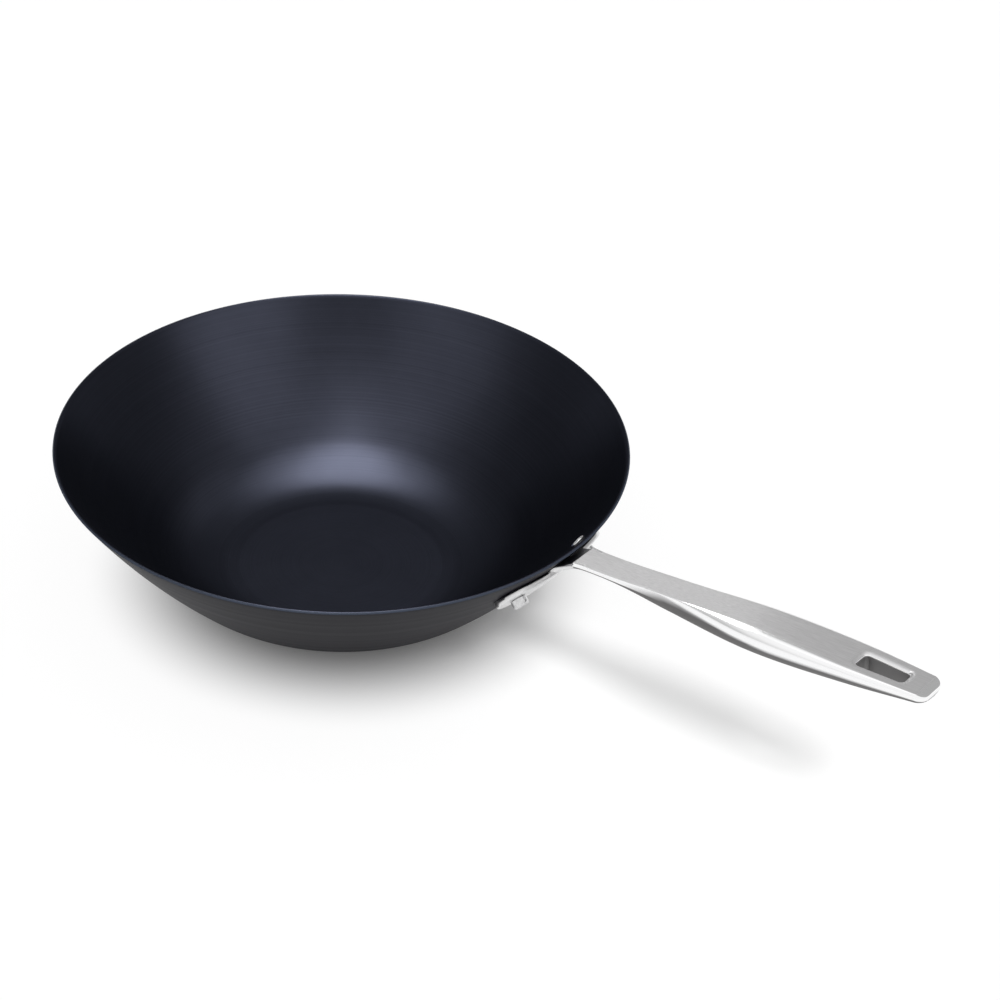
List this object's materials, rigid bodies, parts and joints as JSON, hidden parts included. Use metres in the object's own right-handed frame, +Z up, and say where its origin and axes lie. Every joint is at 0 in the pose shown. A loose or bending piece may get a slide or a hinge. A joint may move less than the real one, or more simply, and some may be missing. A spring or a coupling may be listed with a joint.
{
  "type": "wok",
  "caption": "Flat-bottomed blued steel wok with a flared round bowl and one long cast stainless handle with a hanging slot, riveted below the rim.",
  "frame": {"origin": "middle of the flat base, on the surface that the wok stands on", "axes": "+Z up out of the bowl, +X from the bowl's axis along the handle, +Y to the right of someone holding the handle"},
  "size_m": [0.5073, 0.2996, 0.0952],
  "materials": {
    "blued_steel": "blue-black heat-treated steel, satin, with fine spun rings",
    "stainless_steel": "brushed along the flat top, polished on the sides, the neck and below",
    "rivet_steel": "polished"
  },
  "bodies": {
    "root": {"wok_bowl": "blued_steel", "handle": "stainless_steel", "rivet_left": "rivet_steel", "rivet_right": "rivet_steel"}
  },
  "joints": []
}
